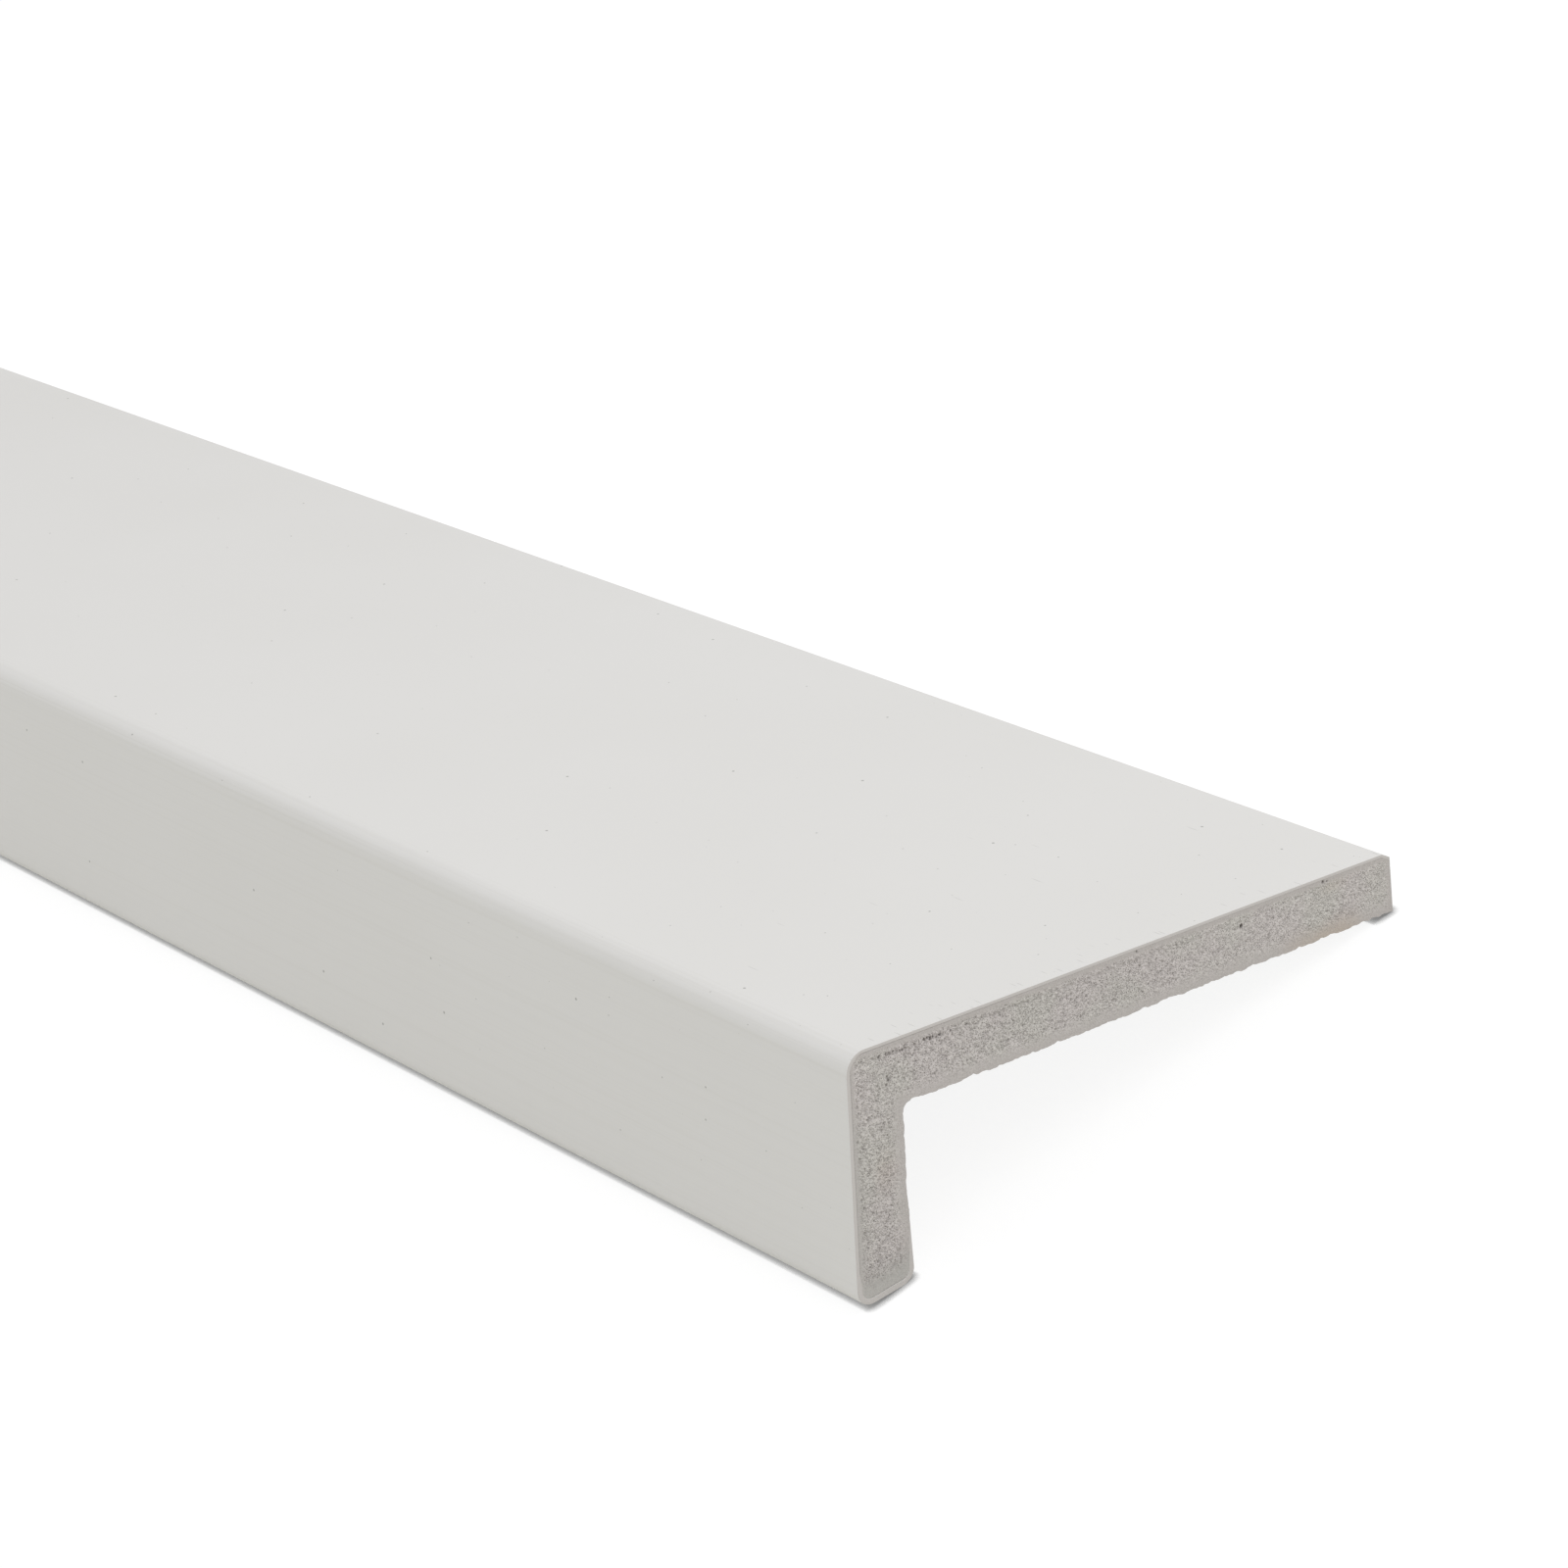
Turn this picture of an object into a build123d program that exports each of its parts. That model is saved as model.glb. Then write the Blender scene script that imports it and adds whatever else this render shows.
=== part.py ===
"""Fascia cover board: one length of white cellular plastic, extruded in an L-shaped section.

The section is first drawn flat. Its x runs across the wide face, from the sharp outer corner to the
free edge, and its y is up, so the board's body lies below the line y = 0 and the leg hangs at x = 0.
The board is then laid down as it comes to rest on a level floor, with its wide face up: on the
rounded inner side of the leg's toe and on the free edge's lower corner.

Stored frame: X runs along the board, Z is up, and the origin is the bottom centre of the whole board.
"""
import os
from math import asin, atan2, cos, degrees, radians, sin, tan

from build123d import *

# Driving dimensions, in millimetres, with angles in degrees
LENGTH = 2500.0
FACE_WIDTH = 100.0
FACE_THICKNESS_AT_LEG = 9.7
FACE_THICKNESS_AT_EDGE = 9.3
LEG_DEPTH = 37.0
LEG_THICKNESS = 9.2
TOE_THICKNESS = 9.9
TOE_FLARE_START = 22.0
TOE_BEVEL_ANGLE = 8.3
EDGE_LEAN_ANGLE = 4.4
EDGE_EASE_ACROSS = 1.5
EDGE_EASE_DOWN = 0.8
OUTER_CORNER_RADIUS = 3.0
INNER_CORNER_RADIUS = 1.2
TOE_OUTER_RADIUS = 2.5
TOE_INNER_RADIUS = 2.2
SHARP = 0.0


def free_edge_point(depth: float) -> tuple[float, float]:
    """A point of the free edge, which leans outwards on its way down from the wide face."""
    return FACE_WIDTH + depth * tan(radians(EDGE_LEAN_ANGLE)), -depth


def toe_point(across: float) -> tuple[float, float]:
    """A point of the toe's end, which rises on its way in from the leg's outer face."""
    return across, -LEG_DEPTH + across * tan(radians(TOE_BEVEL_ANGLE))


# Corners of the section, in order round the outline, each with the radius that rounds it
EDGE_BOTTOM = free_edge_point(FACE_THICKNESS_AT_EDGE)
TOE_INNER_CORNER = toe_point(TOE_THICKNESS)
CORNERS = [
    ((0.0, 0.0), OUTER_CORNER_RADIUS),
    ((FACE_WIDTH - EDGE_EASE_ACROSS, 0.0), SHARP),
    (free_edge_point(EDGE_EASE_DOWN), SHARP),
    (EDGE_BOTTOM, SHARP),
    ((LEG_THICKNESS, -FACE_THICKNESS_AT_LEG), INNER_CORNER_RADIUS),
    ((LEG_THICKNESS, -TOE_FLARE_START), SHARP),
    (TOE_INNER_CORNER, TOE_INNER_RADIUS),
    (toe_point(0.0), TOE_OUTER_RADIUS),
]

# The section, drawn flat
with BuildSketch() as section:
    with BuildLine():
        points, radii = zip(*CORNERS)
        FilletPolyline(points, radius=radii, close=True)
    make_face()

# How far the board tips before the free edge touches the floor: the floor passes through the free
# edge's lower corner and is tangent to the arc on the inner side of the toe
toe_arc = section.edges().filter_by(GeomType.CIRCLE).sort_by_distance(TOE_INNER_CORNER)[0]
to_edge = Vector(*EDGE_BOTTOM) - toe_arc.arc_center
REST_ANGLE = degrees(atan2(to_edge.Y, to_edge.X) + asin(TOE_INNER_RADIUS / to_edge.length))

# The plane of the board's far end, tipped by that angle, with the lying section's bottom middle at Y = Z = 0
lying_box = section.sketch.rotate(Axis.Z, -REST_ANGLE).bounding_box()
ACROSS = Vector(0, cos(radians(REST_ANGLE)), -sin(radians(REST_ANGLE)))
end_plane = Plane(
    origin=(-LENGTH / 2, -lying_box.center().X, -lying_box.min.Y),
    x_dir=ACROSS,
    z_dir=(1, 0, 0),
)

# The board itself
with BuildPart() as fascia_board:
    with BuildSketch(end_plane):
        add(section.sketch)
    extrude(amount=LENGTH)
fascia_board.part.label = "fascia_board"

os.makedirs("parts", exist_ok=True)
export_step(fascia_board.part, "parts/fascia_board.step")
print(f"rests tipped by {REST_ANGLE:.3f} degrees, end plane at {tuple(end_plane.origin)}")
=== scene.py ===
"""Fascia cover board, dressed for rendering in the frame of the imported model.

The board is one extruded length of foamed white plastic. Its parts that show are built here: the smooth
skin that wraps the wide face, the leg and the toe, the foamed back with the ridges that the die leaves
along it, and the two sawn ends with their open cells.

Every part is modelled flat, as the section is drawn: X runs along the board, Y across the wide face from
the outer corner, and Z up. The finished part is then laid down in the pose in which the board rests.
"""

import logging
from collections.abc import Callable, Sequence
from dataclasses import dataclass
from enum import Enum
from math import asin, atan2, cos, degrees, pi, radians, sin, tan

import bmesh
import bpy
import numpy as np
from mathutils import Matrix, Vector, noise


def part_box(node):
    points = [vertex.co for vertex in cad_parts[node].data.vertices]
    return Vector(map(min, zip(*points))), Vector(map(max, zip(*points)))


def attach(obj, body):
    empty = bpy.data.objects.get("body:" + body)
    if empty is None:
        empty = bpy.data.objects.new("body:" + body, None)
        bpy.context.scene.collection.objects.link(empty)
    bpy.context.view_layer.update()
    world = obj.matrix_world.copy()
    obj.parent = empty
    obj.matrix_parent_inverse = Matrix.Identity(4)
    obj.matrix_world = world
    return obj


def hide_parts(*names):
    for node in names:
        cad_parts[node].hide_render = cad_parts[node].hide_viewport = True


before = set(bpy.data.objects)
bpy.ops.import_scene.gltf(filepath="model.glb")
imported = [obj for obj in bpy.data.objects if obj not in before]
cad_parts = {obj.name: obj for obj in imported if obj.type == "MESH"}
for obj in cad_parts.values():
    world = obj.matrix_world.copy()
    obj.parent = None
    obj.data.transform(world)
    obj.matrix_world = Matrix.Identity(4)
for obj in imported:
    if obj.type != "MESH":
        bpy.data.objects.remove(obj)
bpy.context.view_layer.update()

Object = bpy.types.Object
Socket = bpy.types.NodeSocket
Node = bpy.types.Node
Colour = tuple[float, float, float, float]

MM = 0.001
BOARD_NODE = "fascia_board"
BODY = "root"
TOUCHING = 0.05 * MM

log = logging.getLogger(BOARD_NODE)


class Slot(Enum):
    """The record's material slots."""

    WHITE_SKIN = "white_skin"
    FOAM_CORE = "foam_core"
    FOAMED_BACK = "foamed_back"


class End(Enum):
    """The board's two ends, by the way that each one faces along X."""

    SAWN = 1
    FAR = -1


class Mark(Enum):
    """What each point of a sawn end keeps for its finish."""

    FIELD = "cell_field"
    SHELTER = "skin_shelter"
    DEPTH = "pit_depth"
    BEHIND = "behind_cut"

    def write(self, piece: Object, values: np.ndarray) -> None:
        """Keep one value for each of the piece's points."""
        kept = piece.data.attributes.new(self.value, "FLOAT", "POINT")
        kept.data.foreach_set("value", values)

    def read(self, sheet: "Sheet") -> Socket:
        """Return the kept value in a material."""
        node = sheet.add("ShaderNodeAttribute", attribute_name=self.value, attribute_type="GEOMETRY")
        return node.outputs["Fac"]


@dataclass(frozen=True)
class Fade:
    """A smooth change from 0 at one value to 1 at another, which may be the lower one."""

    start: float
    end: float

    @classmethod
    def in_mm(cls, start: float, end: float) -> "Fade":
        """Return a fade between two lengths in millimetres."""
        return cls(start * MM, end * MM)

    def moved(self, by: float) -> "Fade":
        """Return the fade with both of its values moved."""
        return Fade(self.start + by, self.end + by)

    def at(self, values: np.ndarray) -> np.ndarray:
        """Return how far the change has come at each of these values."""
        share = np.clip((values - self.start) / (self.end - self.start), 0, 1)
        return share * share * (3 - 2 * share)


def at_least(least: float, share: np.ndarray) -> np.ndarray:
    """Return a share of 0 to 1 brought up into the range from the least value to 1."""
    return least + (1 - least) * share


# Sizes of the board's section


@dataclass(frozen=True)
class Corner:
    """One corner of an outline, with the radius that rounds it."""

    across: float
    up: float
    radius: float = 0.0

    @property
    def place(self) -> Vector:
        """Return the corner's place in the section."""
        return Vector((self.across, self.up))


@dataclass(frozen=True)
class Section:
    """The board's section, drawn flat, with its sharp outer corner at zero."""

    face_width: float = 100.0 * MM
    thickness_at_leg: float = 9.7 * MM
    thickness_at_edge: float = 9.3 * MM
    leg_depth: float = 37.0 * MM
    leg_thickness: float = 9.2 * MM
    toe_thickness: float = 9.9 * MM
    toe_flare_start: float = 22.0 * MM
    toe_bevel: float = radians(8.3)
    edge_lean: float = radians(4.4)
    ease_across: float = 1.5 * MM
    ease_down: float = 0.8 * MM
    outer_radius: float = 3.0 * MM
    inner_radius: float = 1.2 * MM
    toe_outer_radius: float = 2.5 * MM
    toe_inner_radius: float = 2.2 * MM

    def free_edge(self, depth: float) -> Corner:
        """Return the point of the leaning free edge at a depth below the wide face."""
        return Corner(self.face_width + depth * tan(self.edge_lean), -depth)

    def toe(self, across: float, radius: float) -> Corner:
        """Return the point of the toe's sloping end at a distance from the leg's outer face."""
        return Corner(across, -self.leg_depth + across * tan(self.toe_bevel), radius)

    @property
    def edge_bottom(self) -> Corner:
        """Return the free edge's lower corner."""
        return self.free_edge(self.thickness_at_edge)

    @property
    def edge_top(self) -> Corner:
        """Return the lower end of the ease along the free edge."""
        return self.free_edge(self.ease_down)

    @property
    def ease_start(self) -> Corner:
        """Return the place on the wide face where the ease begins."""
        return Corner(self.face_width - self.ease_across, 0.0)

    @property
    def outer_corner(self) -> Corner:
        """Return the corner between the wide face and the leg."""
        return Corner(0.0, 0.0, self.outer_radius)

    @property
    def toe_outer(self) -> Corner:
        """Return the toe's corner on the leg's outer face."""
        return self.toe(0.0, self.toe_outer_radius)

    @property
    def toe_inner(self) -> Corner:
        """Return the toe's corner on the leg's inner face."""
        return self.toe(self.toe_thickness, self.toe_inner_radius)

    @property
    def flare_start(self) -> Corner:
        """Return the place on the leg's inner face below which the leg thickens to the toe."""
        return Corner(self.leg_thickness, -self.toe_flare_start)

    @property
    def inner_corner(self) -> Corner:
        """Return the corner between the underside and the leg's inner face."""
        return Corner(self.leg_thickness, -self.thickness_at_leg, self.inner_radius)

    def inner_face(self, depth: float) -> Corner:
        """Return the point of the thickening inner face at a depth below the wide face."""
        top, bottom = self.flare_start, self.toe_inner
        share = (depth + top.up) / (top.up - bottom.up)
        return Corner(top.across + share * (bottom.across - top.across), -depth)

    def rest_turn(self) -> float:
        """Return how far the board tips before its free edge touches the floor.

        Returns:
            The angle, in radians, at which the floor passes through the free edge's lower corner and
            touches the round on the inner side of the toe.
        """
        centre = arc_centre(self.toe_outer, self.toe_inner, self.flare_start)
        to_edge = self.edge_bottom.place - centre
        return atan2(to_edge.y, to_edge.x) + asin(self.toe_inner_radius / to_edge.length)


def opening(before: Corner, corner: Corner, after: Corner) -> float:
    """Return the angle between the two sides that meet at a corner, in radians."""
    return (before.place - corner.place).angle(after.place - corner.place)


def arc_centre(before: Corner, corner: Corner, after: Corner) -> Vector:
    """Return the centre of the arc that rounds a corner."""
    sides = (before.place - corner.place).normalized() + (after.place - corner.place).normalized()
    return corner.place + sides.normalized() * corner.radius / sin(opening(before, corner, after) / 2)


def inset(before: Corner, corner: Corner, after: Corner, gaps: tuple[float, float]) -> Corner:
    """Return where a corner goes when its two sides move inwards.

    Args:
        before: The corner before, on a walk that keeps the inside on its left.
        corner: The corner itself.
        after: The corner after.
        gaps: How far the side before and the side after move.

    Returns:
        The new corner, with its radius less the mean of the two gaps.
    """
    arriving = (corner.place - before.place).normalized()
    leaving = (after.place - corner.place).normalized()
    arriving_in, leaving_in = arriving.orthogonal(), leaving.orthogonal()
    slide = (gaps[1] - gaps[0] * arriving_in.dot(leaving_in)) / arriving.dot(leaving_in)
    place = corner.place + arriving_in * gaps[0] + arriving * slide
    return Corner(place.x, place.y, max(corner.radius - sum(gaps) / 2, 0.0))


@dataclass(frozen=True)
class SkinGauge:
    """How thick the skin is round the section, and how deep the foam sits in it."""

    on_face: float = 0.45 * MM
    on_leg: float = 0.55 * MM
    round_toe: float = 0.82 * MM
    at_lip: float = 0.10 * MM
    thickens_from: float = 31.5 * MM
    full_from: float = 33.5 * MM
    lip_depth: float = 27.5 * MM
    seat: float = 0.04 * MM


@dataclass(frozen=True)
class Lying:
    """The pose of the resting board: tipped about its length, then shifted into the frame."""

    turn: float
    shift: Vector

    @classmethod
    def in_box(cls, section: Section, low: Vector, high: Vector) -> "Lying":
        """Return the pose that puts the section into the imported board's box.

        Args:
            section: The flat section.
            low: The box's lowest corner.
            high: The box's highest corner.

        Returns:
            The pose whose free edge touches the box's bottom and its highest Y.
        """
        turn = section.rest_turn()
        tip = Matrix.Rotation(-turn, 2)
        lowest, outermost = tip @ section.edge_bottom.place, tip @ section.edge_top.place
        return cls(turn, Vector(((low.x + high.x) / 2, high.y - outermost.x, low.z - lowest.y)))

    def settle(self, piece: Object) -> None:
        """Lay a flat piece down, with its place in its mesh."""
        piece.matrix_world = Matrix.Translation(self.shift) @ Matrix.Rotation(-self.turn, 4, "X")
        pick(piece)
        bpy.ops.object.transform_apply(location=True, rotation=True, scale=True)


# Modelling by operators


def pick(*pieces: Object) -> None:
    """Select only these objects and make the last one active."""
    bpy.ops.object.select_all(action="DESELECT")
    for piece in pieces:
        piece.select_set(True)
        bpy.context.view_layer.objects.active = piece


def add_modifier(piece: Object, kind: str, **settings: object) -> None:
    """Add a modifier with these settings and apply it.

    Args:
        piece: The mesh object to shape.
        kind: The modifier's type.
        **settings: The modifier's properties and their values.
    """
    pick(piece)
    modifier = piece.modifiers.new(kind.title(), kind)
    for name, value in settings.items():
        setattr(modifier, name, value)
    bpy.ops.object.modifier_apply(modifier=modifier.name)


def shade_smooth(piece: Object, angle: float) -> None:
    """Shade the piece smooth, apart from edges sharper than an angle in degrees."""
    pick(piece)
    bpy.ops.object.shade_smooth_by_angle(angle=radians(angle))


def coordinates(piece: Object) -> np.ndarray:
    """Return the piece's vertices as rows of X, Y and Z."""
    rows = np.empty(len(piece.data.vertices) * 3)
    piece.data.vertices.foreach_get("co", rows)
    return rows.reshape(-1, 3)


def weigh(piece: Object, name: str, weights: np.ndarray) -> str:
    """Give the piece a vertex group with one weight for each vertex.

    Args:
        piece: The mesh object.
        name: The group's name.
        weights: The weights, from 0 to 1, in the order of the vertices.

    Returns:
        The group's name, for a modifier's setting.
    """
    group = piece.vertex_groups.new(name=name)
    steps = 100
    rounded = np.round(np.clip(weights, 0, 1) * steps).astype(int)
    for step in np.unique(rounded):
        group.add(np.flatnonzero(rounded == step).tolist(), step / steps, "REPLACE")
    return name


class Bench:
    """A mesh object open in edit mode, whose elements are selected by their place."""

    def __init__(self, piece: Object) -> None:
        """Open the piece for editing with nothing selected."""
        pick(piece)
        self.piece = piece
        bpy.ops.object.mode_set(mode="EDIT")
        bpy.ops.mesh.select_mode(type="VERT")
        bpy.ops.mesh.select_all(action="DESELECT")

    def close(self) -> None:
        """Leave edit mode."""
        bpy.ops.object.mode_set(mode="OBJECT")

    def _select(self, mode: str, kind: str, test: Callable[[object], bool]) -> None:
        """Select only the elements of one kind that pass a test."""
        bpy.ops.mesh.select_mode(type=mode)
        bpy.ops.mesh.select_all(action="DESELECT")
        mesh = bmesh.from_edit_mesh(self.piece.data)
        for element in getattr(mesh, kind):
            if test(element):
                element.select_set(True)
        bmesh.update_edit_mesh(self.piece.data)

    def vertices(self, test: Callable[[Vector], bool]) -> None:
        """Select the vertices whose place passes the test."""
        self._select("VERT", "verts", lambda vertex: test(vertex.co))

    def edges(self, test: Callable[[Vector, Vector], bool]) -> None:
        """Select the edges whose two ends together pass the test."""
        self._select("EDGE", "edges", lambda edge: test(edge.verts[0].co, edge.verts[1].co))

    def face_outwards(self) -> None:
        """Turn the faces of a closed shape outwards."""
        bpy.ops.mesh.select_all(action="SELECT")
        bpy.ops.mesh.normals_make_consistent(inside=False)


def near(first: Vector, second: Vector, reach: float = 0.002 * MM) -> bool:
    """Return whether two points are the same one."""
    return (first - second).length < reach


def trace(name: str, corners: Sequence[Corner], start: float, closed: bool, segments: int) -> Bench:
    """Draw an outline at one end of the board, corner by corner, and round its corners.

    Args:
        name: The new object's name.
        corners: The outline's corners in order.
        start: The outline's place along X.
        closed: Whether the last corner joins the first.
        segments: How many straight steps each round takes.

    Returns:
        The outline, open for editing, as edges with no face.
    """
    places = [Vector((start, corner.across, corner.up)) for corner in corners]
    bpy.ops.object.select_all(action="DESELECT")
    bpy.ops.mesh.primitive_plane_add(size=MM, location=places[0])
    piece = bpy.context.object
    piece.name = piece.data.name = name
    bpy.ops.object.transform_apply(location=True, rotation=True, scale=True)
    bench = Bench(piece)
    bpy.ops.mesh.select_all(action="SELECT")
    bpy.ops.mesh.merge(type="CENTER")
    for here, there in zip(places, places[1:]):
        bpy.ops.mesh.extrude_region_move(TRANSFORM_OT_translate={"value": there - here})
    if closed:
        bench.vertices(lambda place: near(place, places[0]) or near(place, places[-1]))
        bpy.ops.mesh.edge_face_add()
    for index, corner in enumerate(corners):
        if corner.radius:
            before, after = corners[index - 1], corners[(index + 1) % len(corners)]
            reach = corner.radius / tan(opening(before, corner, after) / 2)
            bench.vertices(lambda place, target=places[index]: near(place, target))
            bpy.ops.mesh.bevel(offset=reach, segments=segments, profile=0.5, affect="VERTICES")
    return bench


def draw_along(length: float) -> None:
    """Extrude the edges of the open outline along the board."""
    bpy.ops.mesh.select_mode(type="EDGE")
    bpy.ops.mesh.select_all(action="SELECT")
    bpy.ops.mesh.extrude_region_move(TRANSFORM_OT_translate={"value": (length, 0, 0)})


# Laying out shader nodes


class Sheet:
    """A node tree being laid out: adds nodes, sets their sockets and joins them."""

    def __init__(self, tree: bpy.types.NodeTree) -> None:
        """Start on a tree."""
        self.tree = tree

    def add(self, kind: str, **settings: object) -> Node:
        """Add a node and set its properties."""
        node = self.tree.nodes.new(kind)
        for name, value in settings.items():
            setattr(node, name, value)
        return node

    def put(self, targets: Sequence[Socket], *values: object) -> None:
        """Give each input in turn its value, or join it to the socket that gives one."""
        for target, value in zip(targets, values):
            if isinstance(value, Socket):
                self.tree.links.new(value, target)
            else:
                target.default_value = value

    def feed(self, node: Node, **inputs: object) -> Node:
        """Set or join a node's inputs by name, with underscores for spaces.

        Args:
            node: The node to feed.
            **inputs: A value, or the socket that gives it, for each input.

        Returns:
            The same node.
        """
        self.put([node.inputs[name.replace("_", " ")] for name in inputs], *inputs.values())
        return node

    def maths(self, operation: str, *values: object, clamp: bool = False) -> Socket:
        """Return the result of a Math node on these values or sockets."""
        node = self.add("ShaderNodeMath", operation=operation, use_clamp=clamp)
        self.put(node.inputs, *values)
        return node.outputs[0]

    def times(self, product: object, *factors: object) -> Socket:
        """Return the product of two or more values or sockets."""
        for factor in factors:
            product = self.maths("MULTIPLY", product, factor)
        return product

    def ramp(self, value: Socket, fade: Fade) -> Socket:
        """Return the fade at a socket's value."""
        node = self.add("ShaderNodeMapRange", interpolation_type="SMOOTHSTEP")
        self.feed(node, Value=value, From_Min=fade.start, From_Max=fade.end)
        return node.outputs["Result"]

    def blend(self, share: object, first: object, second: object) -> Socket:
        """Return the mix of two colours."""
        node = self.add("ShaderNodeMix", data_type="RGBA")
        colours = [socket for socket in node.inputs if socket.type == "RGBA"]
        self.put([node.inputs[0], *colours], share, first, second)
        return next(socket for socket in node.outputs if socket.type == "RGBA")

    def noise(self, vector: Socket, scale: object, detail: float) -> Socket:
        """Return a noise value over a vector."""
        node = self.add("ShaderNodeTexNoise")
        return self.feed(node, Vector=vector, Scale=scale, Detail=detail).outputs[0]


def srgb(red: float, green: float, blue: float) -> Colour:
    """Return a colour given in display values of 0 to 255 as the linear colour that nodes take."""
    def linear(level: float) -> float:
        share = level / 255
        return share / 12.92 if share <= 0.04045 else ((share + 0.055) / 1.055) ** 2.4

    return linear(red), linear(green), linear(blue), 1.0


def grey(level: float) -> Colour:
    """Return a linear grey."""
    return level, level, level, 1.0


class Effects:
    """The shader node groups that more than one finish uses."""

    speck_edge: Fade = Fade(0.0, 0.6)

    def __init__(self, lying: Lying) -> None:
        """Build each group once."""
        self.flat = self._flat(lying)
        self.specks = self._specks()
        self.drawn = self._drawn()
        self.grain = self._grain()

    @staticmethod
    def _group(
        name: str, place: str, numbers: Sequence[str], results: Sequence[str], kind: str = "NodeSocketFloat"
    ) -> tuple[Sheet, Sequence[Socket], Node]:
        """Make an empty group.

        Args:
            name: The group's name.
            place: Its vector input's name.
            numbers: Its number inputs' names.
            results: Its outputs' names.
            kind: Its outputs' type.

        Returns:
            The group's sheet, the sockets that give its inputs, and the node that takes its results.
        """
        tree = bpy.data.node_groups.new(name, "ShaderNodeTree")
        tree.interface.new_socket(place, in_out="INPUT", socket_type="NodeSocketVector")
        for label in numbers:
            tree.interface.new_socket(label, in_out="INPUT", socket_type="NodeSocketFloat")
        for label in results:
            tree.interface.new_socket(label, in_out="OUTPUT", socket_type=kind)
        sheet = Sheet(tree)
        return sheet, sheet.add("NodeGroupInput").outputs, sheet.add("NodeGroupOutput")

    def _flat(self, lying: Lying) -> bpy.types.NodeTree:
        """Build the group that turns a place on the lying board into flat millimetres."""
        sheet, given, result = self._group("Board millimetres", "Place", [], ["Flat"], "NodeSocketVector")
        turned = sheet.add("ShaderNodeMapping", vector_type="TEXTURE")
        turn = (-lying.turn, 0, 0)
        sheet.feed(turned, Vector=given["Place"], Location=lying.shift, Rotation=turn, Scale=(MM, MM, MM))
        sheet.feed(result, Flat=turned.outputs["Vector"])
        return sheet.tree

    def _specks(self) -> bpy.types.NodeTree:
        """Build the group that scatters small round specks over a flat pattern."""
        sheet, given, result = self._group("Scattered specks", "Pattern", ["Spacing", "Radius"], ["Mask"])
        cells = sheet.add("ShaderNodeTexVoronoi", voronoi_dimensions="2D")
        sheet.feed(cells, Vector=given["Pattern"], Scale=sheet.maths("DIVIDE", 1.0, given["Spacing"]))
        away = sheet.times(cells.outputs["Distance"], given["Spacing"])
        tint = sheet.feed(sheet.add("ShaderNodeSeparateColor"), Color=cells.outputs["Color"])
        reach = sheet.times(given["Radius"], tint.outputs[0])
        inside = sheet.maths("SUBTRACT", 1.0, sheet.maths("DIVIDE", away, reach), clamp=True)
        sheet.feed(result, Mask=sheet.ramp(inside, self.speck_edge))
        return sheet.tree

    def _drawn(self) -> bpy.types.NodeTree:
        """Build the group of fine lines that run along the board, as the die draws them."""
        sheet, given, result = self._group("Drawn lines", "Flat", ["Spacing", "Run"], ["Value"])
        across = sheet.maths("DIVIDE", 1.0, given["Spacing"])
        along = sheet.maths("DIVIDE", 1.0, given["Run"])
        scale = sheet.feed(sheet.add("ShaderNodeCombineXYZ"), X=along, Y=across, Z=across)
        squeezed = sheet.add("ShaderNodeVectorMath", operation="MULTIPLY")
        sheet.put(squeezed.inputs, given["Flat"], scale.outputs[0])
        sheet.feed(result, Value=sheet.noise(squeezed.outputs[0], 1.0, detail=3.0))
        return sheet.tree

    def _grain(self) -> bpy.types.NodeTree:
        """Build the group of fine grain with a slower drift laid over it."""
        sheet, given, result = self._group("Fine grain", "Flat", ["Size", "Drift"], ["Grain", "Drift"])
        fine = sheet.noise(given["Flat"], sheet.maths("DIVIDE", 1.0, given["Size"]), detail=3.0)
        slow = sheet.noise(given["Flat"], sheet.maths("DIVIDE", 1.0, given["Drift"]), detail=2.0)
        sheet.feed(result, Grain=fine, Drift=slow)
        return sheet.tree


# The finishes, measured in millimetres on the flat board


class Finish:
    """A material being made on top of the shared effects."""

    def __init__(self, name: str, effects: Effects, roughness: float, shine: float, bump: float) -> None:
        """Start a material with its shader, its bump and its flat millimetres.

        Args:
            name: The material's name.
            effects: The shared node groups.
            roughness: The shader's roughness.
            shine: The shader's specular level.
            bump: The height that a bump value of 1 stands for, in metres.
        """
        self.material = bpy.data.materials.new(name)
        self.material.use_nodes = True
        self.effects = effects
        self.sheet = Sheet(self.material.node_tree)
        self.shader = self.material.node_tree.nodes["Principled BSDF"]
        self.shader.inputs["Roughness"].default_value = roughness
        self.shader.inputs["Specular IOR Level"].default_value = shine
        self.bump = self.sheet.add("ShaderNodeBump")
        self.sheet.feed(self.bump, Distance=bump, Strength=1.0)
        self.sheet.feed(self.shader, Normal=self.bump.outputs["Normal"])
        place = self.sheet.add("ShaderNodeTexCoord")
        self.flat = self.effect(effects.flat, Place=place.outputs["Object"])["Flat"]

    def effect(self, tree: bpy.types.NodeTree, **inputs: object) -> Sequence[Socket]:
        """Place one of the shared groups with its own values and return its outputs."""
        return self.sheet.feed(self.sheet.add("ShaderNodeGroup", node_tree=tree), **inputs).outputs

    def complete(self, colour: Socket, height: Socket) -> bpy.types.Material:
        """Give the shader its colour and the bump its height, and return the material."""
        self.sheet.feed(self.shader, Base_Color=colour)
        self.sheet.feed(self.bump, Height=height)
        return self.material


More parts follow.
